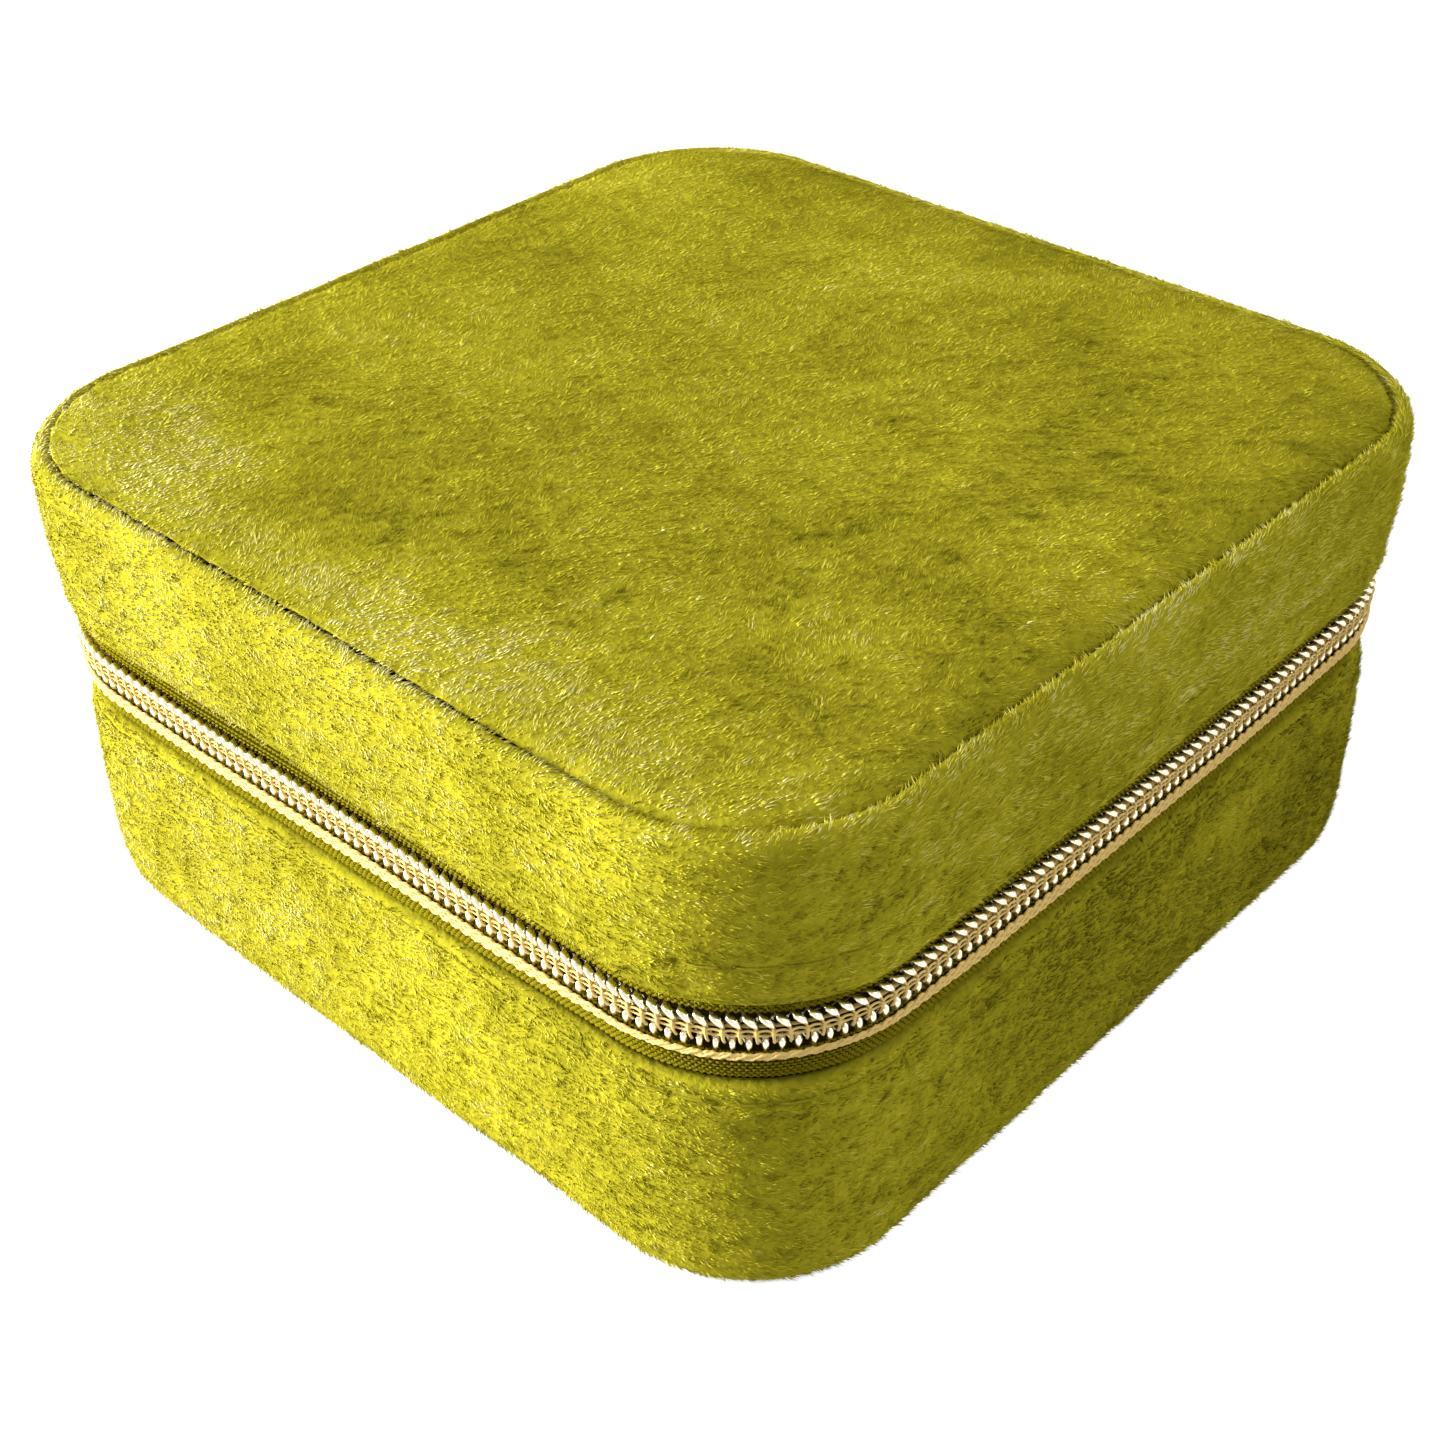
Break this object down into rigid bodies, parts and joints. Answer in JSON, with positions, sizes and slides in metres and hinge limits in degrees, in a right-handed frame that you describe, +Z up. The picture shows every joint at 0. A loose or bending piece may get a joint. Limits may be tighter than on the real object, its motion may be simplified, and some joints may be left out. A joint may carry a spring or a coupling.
{
  "type": "zip-round velvet travel jewelry case",
  "caption": "Square padded velvet travel jewelry case with a zip round three sides, a fabric-hinged lid with a mirror, ring rolls, and compartments with lift-out dividers.",
  "frame": {"origin": "centre of the case's underside, on the surface that it rests on", "axes": "+X to the right side, +Y to the hinge at the back, +Z up; the zip's slider is parked on the left side at -X"},
  "size_m": [0.1065, 0.1018, 0.0524],
  "materials": {
    "velvet": "olive velvet pile",
    "foam": "soft foam wadding",
    "board": "plain grey board",
    "lining": "short velvet",
    "zip_tape": "woven tape",
    "zip_coil": "gold metallised coil",
    "gold_metal": "polished gold plate",
    "mirror": "silvered glass"
  },
  "bodies": {
    "base": {"base_side_cover": "velvet", "base_bottom_cover": "velvet", "base_side_pad": "foam", "base_board": "board", "base_lining": "lining", "zip_tape_base": "zip_tape", "zip_chain_base": "zip_coil", "zip_stop_base": "gold_metal", "hinge_strip_base": "velvet", "ring_board": "board", "ring_roll_1": "lining", "ring_roll_2": "lining", "ring_roll_3": "lining", "ring_roll_4": "lining", "partition": "lining"},
    "lid": {"lid_side_cover": "velvet", "lid_top_cover": "velvet", "lid_top_pad": "foam", "lid_side_pad": "foam", "lid_board": "board", "lid_lining": "lining", "zip_tape_lid": "zip_tape", "zip_chain_lid": "zip_coil", "zip_stop_lid": "gold_metal", "hinge_strip_lid": "velvet", "mirror": "mirror", "mirror_frame": "lining"},
    "slider": {"slider_body": "gold_metal", "slider_bridge": "gold_metal"},
    "pull_link": {"pull_link": "gold_metal"},
    "pull_tab": {"pull_tab": "gold_metal"},
    "divider_front": {"divider_front": "lining"},
    "divider_back": {"divider_back": "lining"}
  },
  "joints": [
    {"name": "lid_hinge", "type": "hinge", "parent": "base", "child": "lid", "pos_m": [0, 0.0506, 0.0308], "axis": [-1, 0, 0], "range_deg": [0, 105]},
    {"name": "zip_slide", "type": "slide", "parent": "base", "child": "slider", "axis": [0, -1, 0], "range_m": [0, 0.052]},
    {"name": "pull_link_swing", "type": "hinge", "parent": "slider", "child": "pull_link", "pos_m": [-0.0535, 0.0268, 0.0308], "axis": [0, 1, 0], "range_deg": [0, 170]},
    {"name": "pull_tab_swing", "type": "hinge", "parent": "pull_link", "child": "pull_tab", "pos_m": [-0.0535, 0.0268, 0.02565], "axis": [1, 0, 0], "range_deg": [-60, 60]},
    {"name": "divider_front_lift", "type": "slide", "parent": "base", "child": "divider_front", "axis": [0, 0, 1], "range_m": [0, 0.014]},
    {"name": "divider_back_lift", "type": "slide", "parent": "base", "child": "divider_back", "axis": [0, 0, 1], "range_m": [0, 0.014]}
  ]
}
